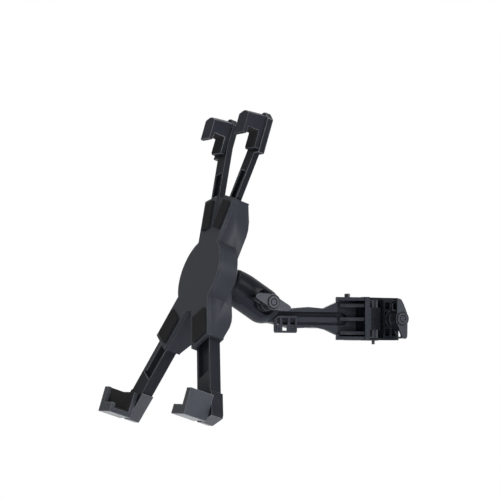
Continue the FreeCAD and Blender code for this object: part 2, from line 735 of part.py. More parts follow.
def hub_front_plate():
    low = hub_joint - plate_thickness
    pieces = [rod(hub_radius, Vec(low, 0, 0), Vec(hub_joint, 0, 0))]
    for name, angle, width, back in arm_sets:
        half = width / 2 + sleeve_wall
        pieces.append(spun(box(low, hub_joint, -half, half, 0, sleeve_end), angle))
    holes = [rod(hub_screw_radius + press_gap, Vec(0, y, z), Vec(low + 0.8, y, z)) for y, z in screw_spots()]
    return at_cradle(less(join(pieces), holes))


def cross_head(point, seat, tip):
    """Countersunk-style screw along local X: its head rests on the plane x = seat."""
    shank = rod(hub_screw_radius, Vec(seat, point.y, point.z), Vec(tip, point.y, point.z))
    head = rod(2 * hub_screw_radius, Vec(seat + screw_head_height, point.y, point.z), Vec(seat, point.y, point.z))
    top = seat + screw_head_height
    arm_half = 1.2 * hub_screw_radius
    cut_half = 0.35
    cross = []
    for half_y, half_z in ((arm_half, cut_half), (cut_half, arm_half)):
        cross.append(box(top - 1.1, top + 1, point.y - half_y, point.y + half_y, point.z - half_z, point.z + half_z))
    return less(join([shank, head]), cross)


def hub_screws():
    seat = hub_back - hub_screw_seat
    screws = [cross_head(Vec(0, y, z), seat, hub_joint - 2.4) for y, z in screw_spots()]
    return at_cradle(Part.makeCompound(screws))


def hub_pads():
    pads = []
    low = hub_joint - plate_thickness
    for name, angle, width, back in arm_sets:
        half = width / 2 - 1.0
        pads.append(spun(box(low - pad_rubber, low, -half, half, sleeve_end - 30, sleeve_end - 4), angle))
    return at_cradle(Part.makeCompound(pads))


parts["hub_back_shell"] = hub_back_shell()
parts["hub_front_plate"] = hub_front_plate()
parts["hub_screws"] = hub_screws()
parts["hub_pads"] = hub_pads()

# Grips: y and z are local, side is +1 on the left of the screen and -1 on its right
half_width = tablet_width / 2
low_half = tablet_height / 2 - tablet_rise
top_half = tablet_height / 2 + tablet_rise
tablet_back = -glass_to_ball + tablet_thickness


def side_box(side, x0, x1, u0, u1, z0, z1):
    y0, y1 = sorted((side * u0, side * u1))
    return box(x0, x1, y0, y1, z0, z1)


def bar_solid(width, back, inner_end, outer_end, angle):
    half = width / 2
    bar = box(hub_joint + slide_gap, back, -half, half, inner_end, outer_end)
    relief = box(hub_joint, hub_joint + 3.0, -half + 2.5, half - 2.5, inner_end + 6.0, outer_end - 30.0)
    return spun(less(bar, [relief]), angle)


def bottom_end_block(side):
    """Pad of the bottom arm behind the corner: it lies along the arm and ends level below it."""
    outer = half_width + 9.2
    base = low_half + 6.4
    outline = [(outer - 11.6, base - 28.1), (outer - 0.5, base - 9.5), (outer, base - 6.5), (outer - 14.0, base),
               (outer - 21.4, base), (outer - 36.4, base - 24.0)]
    return front_prism([(side * u, -v) for u, v in outline], bracket_back, end_block_back)


def bracket_screw_place(side):
    return Vec(0, side * (half_width - 7.0), -(low_half - 7.0))


def bottom_arm(side, angle):
    bar = bar_solid(low_bar_width, bar_back, low_bar_inner, low_bar_outer, angle)
    low_arm = join([bar, bottom_end_block(side)])
    place = bracket_screw_place(side)
    hole = rod(hub_screw_radius + press_gap, place + Vec(0, 0, 0), place + Vec(-60, 0, 0))
    sink = rod(2 * hub_screw_radius + 0.2, place, place + Vec(end_block_back - screw_seat_depth, 0, 0))
    return at_cradle(less(low_arm, [hole, sink]))


def corner_bracket(side):
    wall_in = half_width + grip_gap + grip_rubber
    wall_out = wall_in + bracket_wall
    floor_in = low_half + grip_gap + grip_rubber
    floor_out = floor_in + bracket_floor
    reach_u = wall_out - bracket_reach
    reach_z = -(floor_out - bracket_reach)
    front = lip_front
    pieces = [side_box(side, front, bracket_back, wall_in, wall_out, -floor_out, reach_z)]
    pieces.append(side_box(side, front, bracket_back, reach_u, wall_out, -floor_out, -floor_in))
    pieces.append(side_box(side, tablet_back + grip_gap + grip_rubber, bracket_back, reach_u, wall_out,
                           -floor_out, reach_z))
    pieces.append(side_box(side, front, front + lip_thickness, wall_out - lip_side_width, wall_out,
                           -floor_out, reach_z))
    pieces.append(side_box(side, front, front + lip_thickness, reach_u, wall_out, -floor_out,
                           -floor_out + lip_floor_height))
    place = bracket_screw_place(side)
    hole = rod(hub_screw_radius + press_gap, place, place + Vec(bracket_back - 2.6, 0, 0))
    return at_cradle(less(join(pieces), [hole]))


def corner_pad(side):
    wall_in = half_width + grip_gap + grip_rubber
    floor_in = low_half + grip_gap + grip_rubber
    reach_u = wall_in + bracket_wall - bracket_reach
    reach_z = -(floor_in + bracket_floor - bracket_reach)
    front = lip_front + lip_thickness
    back = tablet_back + grip_gap + grip_rubber
    pieces = [side_box(side, front, back, wall_in - grip_rubber, wall_in, -floor_in, reach_z),
              side_box(side, front, back, reach_u, wall_in, -floor_in, -floor_in + grip_rubber),
              side_box(side, back - grip_rubber, back, reach_u, wall_in, -floor_in, reach_z)]
    return at_cradle(join(pieces))


def grip_screw(place, back_face):
    return at_cradle(cross_head(place, back_face - screw_seat_depth, bracket_back - screw_seat_depth))


def roof_outline(centre, width, top, eave_drop, low):
    half = width / 2
    ridge = 2.0
    return [(centre - half, low), (centre - half, top - eave_drop), (centre - ridge, top), (centre + ridge, top),
            (centre + half, top - eave_drop), (centre + half, low)]


def top_end_block(side):
    top = top_half + grip_gap + grip_rubber + hook_bridge_height + top_block_rise
    outline = roof_outline(side * hook_offset, top_block_width, top, top_block_eave, top - top_block_length)
    return front_prism(outline, bracket_back, top_bar_back)


def hook_screw_place(side):
    return Vec(0, side * hook_offset, top_half - 6.0)


def top_arm(side, angle):
    bar = bar_solid(top_bar_width, top_bar_back, top_bar_inner, top_bar_outer, angle)
    place = hook_screw_place(side)
    hole = rod(hub_screw_radius + press_gap, place, place + Vec(-60, 0, 0))
    sink = rod(2 * hub_screw_radius + 0.2, place, place + Vec(top_bar_back - screw_seat_depth, 0, 0))
    return at_cradle(less(join([bar, top_end_block(side)]), [hole, sink]))


def rising_bridge(front_outline, back_outline):
    """The hook's roof over the tablet's edge: it climbs from its front to its back."""
    rings = []
    for outline, x in ((front_outline, hook_front), (back_outline, bracket_back)):
        points = [Vec(x, y, z) for y, z in outline]
        rings.append(Part.makePolygon(points + points[:1]))
    return Part.makeLoft(rings, True, True)


def top_hook(side):
    centre = side * hook_offset
    edge = top_half + grip_gap + grip_rubber
    top = edge + hook_bridge_height + hook_roof_drop
    plate = front_prism(roof_outline(centre, hook_width, top, hook_roof_drop, top_half - hook_overlap),
                        hook_front, hook_front + hook_plate)
    bridge = rising_bridge(roof_outline(centre, hook_width, top, hook_roof_drop, edge),
                           roof_outline(centre, hook_width, top + hook_roof_rise, hook_roof_drop, edge))
    back = box(tablet_back + grip_gap + grip_rubber, bracket_back, centre - hook_width / 2, centre + hook_width / 2,
               top_half - 14.0, edge + 1)
    place = hook_screw_place(side)
    hole = rod(hub_screw_radius + press_gap, place, place + Vec(bracket_back - 2.6, 0, 0))
    return at_cradle(less(join([plate, bridge, back]), [hole]))


def top_pad(side):
    centre = side * hook_offset
    half = hook_width / 2 - 1.0
    edge = top_half + grip_gap + grip_rubber
    front = hook_front + hook_plate
    back = tablet_back + grip_gap + grip_rubber
    pieces = [box(front, back, centre - half, centre + half, edge - grip_rubber, edge),
              box(back - grip_rubber, back, centre - half, centre + half, top_half - 13.0, edge)]
    return at_cradle(join(pieces))


for side_name, side in (("left", 1), ("right", -1)):
    parts["bottom_" + side_name + "_arm"] = bottom_arm(side, 180 - side * low_angle)
    parts["bottom_" + side_name + "_bracket"] = corner_bracket(side)
    parts["bottom_" + side_name + "_pad"] = corner_pad(side)
    parts["bottom_" + side_name + "_screw"] = grip_screw(bracket_screw_place(side), end_block_back)
    parts["top_" + side_name + "_arm"] = top_arm(side, side * top_angle)
    parts["top_" + side_name + "_hook"] = top_hook(side)
    parts["top_" + side_name + "_pad"] = top_pad(side)
    parts["top_" + side_name + "_screw"] = grip_screw(hook_screw_place(side), top_bar_back)

os.makedirs("parts", exist_ok=True)
for name, shape in parts.items():
    shape.exportStep("parts/" + name + ".step")
    print(name, len(shape.Solids), round(shape.Volume), shape.isValid())
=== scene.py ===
# %% [markdown]
# A clamp-on tablet holder, as a lesson in dressing a CAD model. The holder has a ribbed clamp, a short
# arm, a ball joint and a cradle with four sliding arms. The CAD solids give every size and place.
# Blender gives what CAD leaves plain: soft edges, grain, thread, grip ribs and light.

# %% Load the frame and measure it
import bpy
import json
import math
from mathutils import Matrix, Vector


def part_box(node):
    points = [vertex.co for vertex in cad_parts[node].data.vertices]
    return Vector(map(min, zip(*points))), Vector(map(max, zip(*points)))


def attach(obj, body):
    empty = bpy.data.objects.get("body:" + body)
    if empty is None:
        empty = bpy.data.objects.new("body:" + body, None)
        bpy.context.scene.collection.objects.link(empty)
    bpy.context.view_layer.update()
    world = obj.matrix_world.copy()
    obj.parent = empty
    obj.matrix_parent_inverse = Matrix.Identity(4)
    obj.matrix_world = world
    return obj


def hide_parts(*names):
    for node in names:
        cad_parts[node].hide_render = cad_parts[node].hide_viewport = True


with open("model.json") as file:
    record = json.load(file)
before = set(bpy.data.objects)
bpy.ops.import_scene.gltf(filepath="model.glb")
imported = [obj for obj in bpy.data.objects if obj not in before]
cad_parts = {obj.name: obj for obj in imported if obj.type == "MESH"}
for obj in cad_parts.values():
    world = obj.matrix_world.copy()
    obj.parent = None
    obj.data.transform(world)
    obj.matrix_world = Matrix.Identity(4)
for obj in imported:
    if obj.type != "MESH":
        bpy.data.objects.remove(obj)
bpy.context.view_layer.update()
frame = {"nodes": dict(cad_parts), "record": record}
nodes = frame["nodes"]
bodies = frame["record"]["behaviour"]["bodies"]
body_of = {node: body for body, members in bodies.items() for node in members}
scene = bpy.context.scene
scene.view_settings.view_transform = "Standard"

# %% [markdown]
# The camera stands a little below the clamp, 29 degrees round from the front, and looks slightly up.
# It is 2 m away with a long lens, so the far hooks look nearly as large as the near bracket. The
# picture's frame is found by turning the camera, which needs no lens shift.

# %% Camera
lens_length = 159.49
sensor_width = 36.0
camera_place = (-1.0728, -1.7063, -0.0483)
camera_look = (0.48835, 0.87091, 0.05514)
nearest_seen = 0.1
farthest_seen = 30.0

camera_data = bpy.data.cameras.new("photo_camera")
camera_data.lens = lens_length
camera_data.sensor_width = sensor_width
camera_data.clip_start = nearest_seen
camera_data.clip_end = farthest_seen
camera = bpy.data.objects.new("photo_camera", camera_data)
scene.collection.objects.link(camera)
camera.location = camera_place
camera.rotation_euler = Vector(camera_look).normalized().to_track_quat("-Z", "Y").to_euler()
scene.camera = camera
print("camera distance", round(camera.location.length, 3))

# %% [markdown]
# The holder is used high above the ground, so the pale floor lies well below it.

# %% Floor
floor_height = -0.35
floor_size = 3.6
floor_colour = (0.86, 0.87, 0.88, 1.0)
floor_roughness = 0.7

bpy.ops.object.select_all(action="DESELECT")
bpy.ops.mesh.primitive_plane_add(size=floor_size, location=(0, 0, floor_height))
floor = bpy.context.object
floor.name = "studio_floor"
bpy.ops.object.transform_apply(location=True, rotation=False, scale=False)
floor_paint = bpy.data.materials.new("pale_floor")
floor_paint.use_nodes = True
floor_shader = floor_paint.node_tree.nodes["Principled BSDF"]
floor_shader.inputs["Base Color"].default_value = floor_colour
floor_shader.inputs["Roughness"].default_value = floor_roughness
floor.data.materials.append(floor_paint)
print("floor at", floor_height)

# %% [markdown]
# Camera, glossy and transmitted rays see a white world, and all other rays see a softer one. So the
# black plastic keeps its depth, while its edges and undersides still mirror a white room.

# %% World
white = (1.0, 1.0, 1.0, 1.0)
soft_white = (0.93, 0.95, 1.0, 1.0)
soft_strength = 0.28


def see_white(tree, soft, bright):
    """Mix two shaders by ray, so that camera, glossy and transmitted rays get the bright one."""
    rays = tree.nodes.new("ShaderNodeLightPath")
    factor = rays.outputs["Is Camera Ray"]
    for kind in ("Is Glossy Ray", "Is Transmission Ray"):
        either = tree.nodes.new("ShaderNodeMath")
        either.operation = "MAXIMUM"
        tree.links.new(factor, either.inputs[0])
        tree.links.new(rays.outputs[kind], either.inputs[1])
        factor = either.outputs[0]
    mix = tree.nodes.new("ShaderNodeMixShader")
    tree.links.new(factor, mix.inputs[0])
    tree.links.new(soft, mix.inputs[1])
    tree.links.new(bright, mix.inputs[2])
    return mix.outputs[0]


world = bpy.data.worlds.new("white_room")
scene.world = world
world.use_nodes = True
room = world.node_tree
room.nodes.clear()
soft_room = room.nodes.new("ShaderNodeBackground")
soft_room.inputs["Color"].default_value = soft_white
soft_room.inputs["Strength"].default_value = soft_strength
white_room = room.nodes.new("ShaderNodeBackground")
white_room.inputs["Color"].default_value = white
room_out = room.nodes.new("ShaderNodeOutputWorld")
room.links.new(see_white(room, soft_room.outputs[0], white_room.outputs[0]), room_out.inputs["Surface"])
print("world", world.name)

# %% [markdown]
# Five wide lamps light the holder. The key stands in front and to the right, which makes the faces
# with the knobs the brightest, as in the photograph. One hangs above and one stands far to the right,
# so that ribs and rims stand out from the pockets between them. A weak one near the floor lifts the
# undersides, and one behind shows the back of the cradle to whoever walks round.

# %% Lamps
holder_middle = (-0.1, 0.0, 0.03)
cradle_foot = (-0.2, 0.0, -0.1)
lamps = {
    # name: place, target, width in metres, power in watts
    "key_lamp": ((0.7, -1.7, 0.9), holder_middle, 0.9, 19.0),
    "top_lamp": ((-0.1, -0.2, 1.5), holder_middle, 1.0, 18.0),
    "right_lamp": ((1.5, -0.8, 0.2), holder_middle, 1.0, 20.0),
    "low_lamp": ((-0.35, -0.45, -0.33), cradle_foot, 0.5, 5.0),
    "back_lamp": ((0.5, 1.8, 0.7), holder_middle, 1.1, 10.0),
}


def add_lamp(name, place, target, width, power):
    data = bpy.data.lights.new(name, "AREA")
    data.shape = "DISK"
    data.size = width
    data.energy = power
    lamp = bpy.data.objects.new(name, data)
    scene.collection.objects.link(lamp)
    lamp.location = place
    lamp.rotation_euler = (Vector(target) - Vector(place)).to_track_quat("-Z", "Y").to_euler()


for name, (place, target, width, power) in lamps.items():
    add_lamp(name, place, target, width, power)
print("lamps", list(lamps))

# %% [markdown]
# A shader node group is a small machine with named inputs and outputs. These helpers start a group and
# add the three nodes that both groups below are made of: noise, a change of range and a colour blend.
# Each setting may be a plain number or the output of another node.

# %% Helpers for shader groups


def new_group(name, inputs, outputs):
    group = bpy.data.node_groups.new(name, "ShaderNodeTree")
    for label, kind, value in inputs:
        socket = group.interface.new_socket(label, in_out="INPUT", socket_type=kind)
        socket.default_value = value
    for label, kind in outputs:
        group.interface.new_socket(label, in_out="OUTPUT", socket_type=kind)
    start = group.nodes.new("NodeGroupInput")
    end = group.nodes.new("NodeGroupOutput")
    return group, start, end


def feed(group, socket, setting):
    if isinstance(setting, (int, float)):
        socket.default_value = setting
    else:
        group.links.new(setting, socket)


def add_noise(group, place, scale, detail):
    noise = group.nodes.new("ShaderNodeTexNoise")
    noise.inputs["Detail"].default_value = detail
    feed(group, noise.inputs["Scale"], scale)
    group.links.new(place, noise.inputs["Vector"])
    return noise.outputs["Fac"]


def add_range(group, value, source, target):
    """Move a value from the source range to the target range. A range is its low and high end."""
    step = group.nodes.new("ShaderNodeMapRange")
    group.links.new(value, step.inputs["Value"])
    for label, setting in zip(("From Min", "From Max", "To Min", "To Max"), (*source, *target)):
        feed(group, step.inputs[label], setting)
    return step.outputs["Result"]


def add_blend(group, factor, first, second):
    mix = group.nodes.new("ShaderNodeMix")
    mix.data_type = "RGBA"
    group.links.new(factor, mix.inputs["Factor"])
    group.links.new(first, mix.inputs["A"])
    group.links.new(second, mix.inputs["B"])
    return mix.outputs["Result"]


surface_outputs = [
    ("Colour", "NodeSocketColor"),
    ("Roughness", "NodeSocketFloat"),
    ("Height", "NodeSocketFloat")]
print("each group puts out", [label for label, kind in surface_outputs])

# %% [markdown]
# Moulded plastic is never one even colour. Its skin has a fine spark-eroded grain, its gloss drifts
# over a few centimetres, and handling leaves it a little greyer in patches and specks. One group makes
# these effects, and each plastic or rubber gives it other values. A photograph of a surface could do
# the same, but noise has no seam and needs no file.

# %% Skin of moulded plastic and rubber
speck_scale = 900.0
usual_patch_scale = 38.0
worn_patches = (0.42, 0.78)
worn_specks = (0.62, 0.74)
gloss_drift = (0.3, 0.75)
most_worn = 0.55
most_spotted = 0.35

skin, skin_in, skin_out = new_group(
    "moulded_skin",
    [("Colour", "NodeSocketColor", (0.02, 0.02, 0.02, 1.0)),
     ("Worn Colour", "NodeSocketColor", (0.05, 0.05, 0.05, 1.0)),
     ("Grain Scale", "NodeSocketFloat", 2600.0),
     ("Patch Scale", "NodeSocketFloat", usual_patch_scale),
     ("Gloss", "NodeSocketFloat", 0.35),
     ("Matte", "NodeSocketFloat", 0.55)],
    surface_outputs)
skin_place = skin.nodes.new("ShaderNodeTexCoord").outputs["Object"]
grain = add_noise(skin, skin_place, skin_in.outputs["Grain Scale"], detail=3.0)
patches = add_noise(skin, skin_place, skin_in.outputs["Patch Scale"], detail=5.0)
specks = add_noise(skin, skin_place, speck_scale, detail=2.0)
worn = add_range(skin, patches, worn_patches, (0.0, most_worn))
spotted = add_range(skin, specks, worn_specks, (0.0, most_spotted))
worn_or_spotted = skin.nodes.new("ShaderNodeMath")
worn_or_spotted.operation = "MAXIMUM"
skin.links.new(worn, worn_or_spotted.inputs[0])
skin.links.new(spotted, worn_or_spotted.inputs[1])
skin_colour = add_blend(
    skin, worn_or_spotted.outputs[0], skin_in.outputs["Colour"], skin_in.outputs["Worn Colour"])
skin_rough = add_range(skin, patches, gloss_drift, (skin_in.outputs["Gloss"], skin_in.outputs["Matte"]))
skin.links.new(skin_colour, skin_out.inputs["Colour"])
skin.links.new(skin_rough, skin_out.inputs["Roughness"])
skin.links.new(grain, skin_out.inputs["Height"])
print("made", skin.name, "with", len(skin.nodes), "nodes")

# %% [markdown]
# Turned and plated steel is cleaner. Its group needs only stains, which darken and dull it, and a very
# fine grain for the relief.

# %% Skin of turned steel
stain_scale = 240.0
steel_grain_scale = 3400.0
stained_spots = (0.45, 0.72)
most_stained = 0.8

metal, metal_in, metal_out = new_group(
    "rolled_metal",
    [("Colour", "NodeSocketColor", (0.5, 0.5, 0.5, 1.0)),
     ("Stain", "NodeSocketColor", (0.2, 0.2, 0.2, 1.0)),
     ("Gloss", "NodeSocketFloat", 0.25),
     ("Matte", "NodeSocketFloat", 0.45)],
    surface_outputs)
metal_place = metal.nodes.new("ShaderNodeTexCoord").outputs["Object"]
stains = add_noise(metal, metal_place, stain_scale, detail=6.0)
steel_grain = add_noise(metal, metal_place, steel_grain_scale, detail=2.0)
stained = add_range(metal, stains, stained_spots, (0.0, most_stained))
metal_colour = add_blend(metal, stained, metal_in.outputs["Colour"], metal_in.outputs["Stain"])
metal_rough = add_range(metal, stains, gloss_drift, (metal_in.outputs["Gloss"], metal_in.outputs["Matte"]))
metal.links.new(metal_colour, metal_out.inputs["Colour"])
metal.links.new(metal_rough, metal_out.inputs["Roughness"])
metal.links.new(steel_grain, metal_out.inputs["Height"])
print("made", metal.name, "with", len(metal.nodes), "nodes")

# %% [markdown]
# Each finish is a small material round one of the groups. The group feeds colour, roughness and the
# height of a bump. What is the same all over the surface, which is metallic and specular level, is set
# on the shader itself.

# %% A helper that makes a finish
relief_height = 0.00012
finishes = {}


def add_finish(name, group, values, relief, metallic, specular):
    paint = bpy.data.materials.new(name)
    paint.use_nodes = True
    tree = paint.node_tree
    shader = tree.nodes["Principled BSDF"]
    pattern = tree.nodes.new("ShaderNodeGroup")
    pattern.node_tree = group
    for label, value in values.items():
        pattern.inputs[label].default_value = value
    bump = tree.nodes.new("ShaderNodeBump")
    bump.inputs["Strength"].default_value = relief
    bump.inputs["Distance"].default_value = relief_height
    tree.links.new(pattern.outputs["Height"], bump.inputs["Height"])
    tree.links.new(pattern.outputs["Colour"], shader.inputs["Base Color"])
    tree.links.new(pattern.outputs["Roughness"], shader.inputs["Roughness"])
    tree.links.new(bump.outputs["Normal"], shader.inputs["Normal"])
    shader.inputs["Metallic"].default_value = metallic
    shader.inputs["Specular IOR Level"].default_value = specular
    finishes[name] = paint


def add_plastic(name, colour, worn, grain, gloss, matte, relief, specular, patch=usual_patch_scale):
    values = {"Colour": (*colour, 1.0), "Worn Colour": (*worn, 1.0), "Grain Scale": grain,
              "Patch Scale": patch, "Gloss": gloss, "Matte": matte}
    add_finish(name, skin, values, relief, 0.0, specular)


def add_steel(name, colour, stain, gloss, matte, relief, metallic, specular):
    values = {"Colour": (*colour, 1.0), "Stain": (*stain, 1.0), "Gloss": gloss, "Matte": matte}
    add_finish(name, metal, values, relief, metallic, specular)


print("a finish's relief is", relief_height * 1000, "mm high")

# %% [markdown]
# The body plastic is a blue black. The ball joint is polished and darker, and part of that darkness is
# painted shade from the tablet that the holder carries, which is not modelled. The sliding arms are dark too,
# and their finish also paints shade on the floor between the jaw's ribs. The hooks are dry, and their fronts
# take a glossier lit copy of that finish, which is painted light. The corner brackets and the fronts of the
# knobs are a touch greyer. Pocket floors and the sides of the knobs are painted with shade, and a deep recess
# with darker painted shade. The undersides of the brackets are the smoothest skin of all, and their lavender
# tint and stronger specular are a painted reflection of the pale floor. Every round corner is painted paler
# as a highlight. The pads are matte rubber, pins and bolt are blackened steel, and nut and washers are bright
# zinc.

# %% Finishes
add_plastic("black_plastic", (0.0200, 0.0218, 0.0275), (0.030, 0.033, 0.040),
            grain=2400.0, gloss=0.28, matte=0.42, relief=0.35, specular=0.05)
# Painted shade for pocket floors, the sides of the knobs and the groove of a cover.
add_plastic("painted_shade_plastic", (0.0065, 0.0075, 0.0100), (0.012, 0.013, 0.016),
            grain=2400.0, gloss=0.34, matte=0.5, relief=0.35, specular=0.03)
# Darker painted shade for the deepest recesses and the ledge of a cover.
add_plastic("deep_shade_plastic", (0.0016, 0.0020, 0.0030), (0.0040, 0.0045, 0.0060),
            grain=2400.0, gloss=0.34, matte=0.5, relief=0.35, specular=0.01)
# The barrel's own polished plastic, darkened in part as painted shade from the tablet, which is not modelled.
add_plastic("polished_plastic", (0.0060, 0.0064, 0.0092), (0.011, 0.012, 0.016),
            grain=3600.0, gloss=0.2, matte=0.32, relief=0.15, specular=0.04)
# The sliding arms' own dark plastic, also used as painted shade on the floor of the jaw.
add_plastic("sliding_and_shade_plastic", (0.0110, 0.0120, 0.0155), (0.019, 0.020, 0.024),
            grain=2800.0, gloss=0.3, matte=0.45, relief=0.25, specular=0.02)
add_plastic("hook_plastic", (0.0155, 0.0165, 0.0215), (0.024, 0.025, 0.031),
            grain=2800.0, gloss=0.34, matte=0.5, relief=0.3, specular=0.006)
# Painted light: a lit, glossier copy of the hook finish for the hooks' fronts.
add_plastic("hook_front_lit_plastic", (0.0150, 0.0165, 0.0240), (0.023, 0.025, 0.033),
            grain=2800.0, gloss=0.34, matte=0.5, relief=0.3, specular=0.028)
add_plastic("bracket_plastic", (0.0300, 0.0325, 0.0390), (0.041, 0.044, 0.051),
            grain=2400.0, gloss=0.26, matte=0.4, relief=0.3, specular=0.05)
add_plastic("knob_plastic", (0.044, 0.046, 0.054), (0.062, 0.064, 0.073),
            grain=3000.0, gloss=0.36, matte=0.5, relief=0.3, specular=0.06)
# Painted reflection: a lavender tint and stronger specular on downward faces stand for the pale floor's
# sheen.
add_plastic("underside_reflection_plastic", (0.0290, 0.0285, 0.0370), (0.040, 0.039, 0.048),
            grain=3600.0, gloss=0.2, matte=0.32, relief=0.12, specular=0.35)
# Painted highlight: the paler, shinier skin of every rounded corner.
add_plastic("edge_highlight_plastic", (0.050, 0.053, 0.062), (0.095, 0.098, 0.106),
            grain=3000.0, gloss=0.24, matte=0.36, relief=0.2, specular=0.3, patch=160.0)
add_plastic("pad_rubber", (0.013, 0.013, 0.014), (0.026, 0.025, 0.025),
            grain=1800.0, gloss=0.68, matte=0.86, relief=0.5, specular=0.05)
add_plastic("seat_plastic", (0.20, 0.20, 0.19), (0.28, 0.28, 0.26),
            grain=3000.0, gloss=0.35, matte=0.5, relief=0.2, specular=0.4)
add_steel("dark_steel", (0.050, 0.052, 0.058), (0.018, 0.017, 0.017),
          gloss=0.32, matte=0.5, relief=0.15, metallic=0.9, specular=0.5)
add_steel("zinc_steel", (0.40, 0.41, 0.42), (0.24, 0.24, 0.25),
          gloss=0.28, matte=0.46, relief=0.15, metallic=1.0, specular=0.5)
print("finishes", sorted(finishes))

# %% [markdown]
# Every CAD node first takes the finish of its slot in the record. Most of them are then replaced by a
# softer copy, but a node that stays, or shows through a gap, is never left plain.

# %% Dress the CAD nodes
slot_of = {entry["node"]: entry["material_slot"] for entry in frame["record"]["subparts"]}


def paint(piece, *names):
    piece.data.materials.clear()
    for name in names:
        piece.data.materials.append(finishes[name])


for node, item in nodes.items():
    paint(item, slot_of[node])
print("dressed", len(slot_of), "nodes in", len(set(slot_of.values())), "finishes")

# %% [markdown]
# Every new piece is finished the same way: it is picked alone, its modifiers are applied, and it then
# rides on the body of the CAD node that it stands for. The node's body and slot come from the record.

# %% Helpers that pick a piece and let it stand in for a node


def pick_only(piece):
    bpy.ops.object.select_all(action="DESELECT")
    piece.select_set(True)
    bpy.context.view_layer.objects.active = piece


def apply_all(piece):
    pick_only(piece)
    for modifier in list(piece.modifiers):
        bpy.ops.object.modifier_apply(modifier=modifier.name)


def copy_of(node, name):
    piece = bpy.data.objects.new(name, nodes[node].data.copy())
    scene.collection.objects.link(piece)
    return piece


def stand_in(piece, *replaced):
    """Let the piece ride, take its finish and stand for the CAD nodes that it replaces."""
    slot = slot_of[replaced[0]]
    if len(piece.data.materials) == 0:
        paint(piece, slot)
    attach(piece, body_of[replaced[0]])
    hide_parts(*replaced)
    return piece


print("nodes that a piece can stand in for:", len(body_of))

# %% [markdown]
# A CAD mesh is loose triangles. Before it can be rounded, its points are merged and each flat area is
# made one face again. A long face can also be cut where its finish will change.

# %% Helpers that join triangles and cut faces
merge_distance = 0.000002
flat_degrees = 0.6


def join_triangles(piece):
    pick_only(piece)
    bpy.ops.object.mode_set(mode="EDIT")
    bpy.ops.mesh.select_all(action="SELECT")
    bpy.ops.mesh.remove_doubles(threshold=merge_distance)
    bpy.ops.mesh.dissolve_limited(angle_limit=math.radians(flat_degrees))
    bpy.ops.mesh.select_all(action="DESELECT")
    bpy.ops.object.mode_set(mode="OBJECT")


def cut_faces(piece, point, normal):
    """Divide the faces that cross the plane, and take nothing away."""
    pick_only(piece)
    bpy.ops.object.mode_set(mode="EDIT")
    bpy.ops.mesh.select_all(action="SELECT")
    bpy.ops.mesh.bisect(plane_co=point, plane_no=normal)
    bpy.ops.mesh.select_all(action="DESELECT")
    bpy.ops.object.mode_set(mode="OBJECT")


print("points merge below", merge_distance * 1000, "mm")

# %% [markdown]
# A moulded part has no knife edges: the tool leaves a small round on every corner, and that round is what
# catches the light. The round could be drawn in CAD, but there it slows every other step. Here each sharp
# edge that bends outwards is marked, and the Bevel modifier rounds only those. It gives the rounds the second
# material, a paler and shinier skin that paints a highlight along every corner.

# %% Helpers that round the outward corners
corner_degrees = 32
round_segments = 2


def mark_corners(piece):
    """Give a bevel weight to the edges that bend outwards by more than the corner angle."""
    mesh = piece.data
    sides = {}
    for face in mesh.polygons:
        for index in face.loop_indices:
            loop = mesh.loops[index]
            sides.setdefault(loop.edge_index, []).append((face.normal, loop.vertex_index))
    weights = mesh.attributes.new("bevel_weight_edge", "FLOAT", "EDGE")
    for edge, walked in sides.items():
        if len(walked) != 2:
            continue
        (normal, start), (next_normal, _) = walked
        ends = sorted(mesh.edges[edge].vertices, key=lambda index: index != start)
        along = mesh.vertices[ends[1]].co - mesh.vertices[ends[0]].co
        bends_out = along.cross(next_normal).dot(normal) < 0
        if bends_out and normal.angle(next_normal, 0) > math.radians(corner_degrees):
            weights.data[edge].value = 1.0


def round_corners(piece, radius):
    mark_corners(piece)
    pick_only(piece)
    bpy.ops.object.shade_smooth_by_angle(angle=math.radians(corner_degrees))
    bevel = piece.modifiers.new("corner_round", "BEVEL")
    bevel.width = radius
    bevel.segments = round_segments
    bevel.limit_method = "WEIGHT"
    bevel.harden_normals = True
    if len(piece.data.materials) > 1:
        bevel.material = 1
    apply_all(piece)


print("corners sharper than", corner_degrees, "degrees are rounded")

# %% [markdown]
# The big mouldings get the widest rounds, about half a millimetre, and thin webs and small pins get less, so
# that a round never eats a rib. Steel and rubber get no painted highlight, so their rounds keep the finish of
# the piece. Each piece could be modelled anew, but a copy of the CAD mesh keeps every size.

# %% Soft copies of the moulded and turned parts
plain_corners = ("dark_steel", "zinc_steel", "pad_rubber")
jaw_pocket_start = -0.031
soft_parts = {
    # node: name of the copy, radius of its rounds, finish where it isn't the slot's own
    "arm_with_front_jaw": ("arm_moulding", 0.00042, None),
    "back_jaw": ("back_jaw_moulding", 0.00042, None),
    "cable_clip": ("cable_ladder", 0.00028, None),
    "socket_shell_front": ("barrel_half_near", 0.0005, "polished_plastic"),
    "socket_shell_back": ("barrel_half_far", 0.0005, "polished_plastic"),
    # The sides of the wing knobs take painted shade.
    "socket_knob": ("socket_wing_knob", 0.00034, "painted_shade_plastic"),
    "clamp_knob": ("clamp_wing_knob", 0.00034, "painted_shade_plastic"),
    "hub_back_shell": ("hub_cover", 0.0007, None),
    "hub_front_plate": ("hub_plate", 0.0006, None),
    "jaw_hinge_pin": ("hinge_rivet", 0.0005, None),
    "swing_bolt_pin": ("bolt_pivot_pin", 0.0003, None),
    "clamp_washer": ("clamp_ring", 0.0002, None),
    "socket_washer": ("socket_ring", 0.0002, None),
    "socket_screw": ("socket_bolt", 0.0003, None),
}
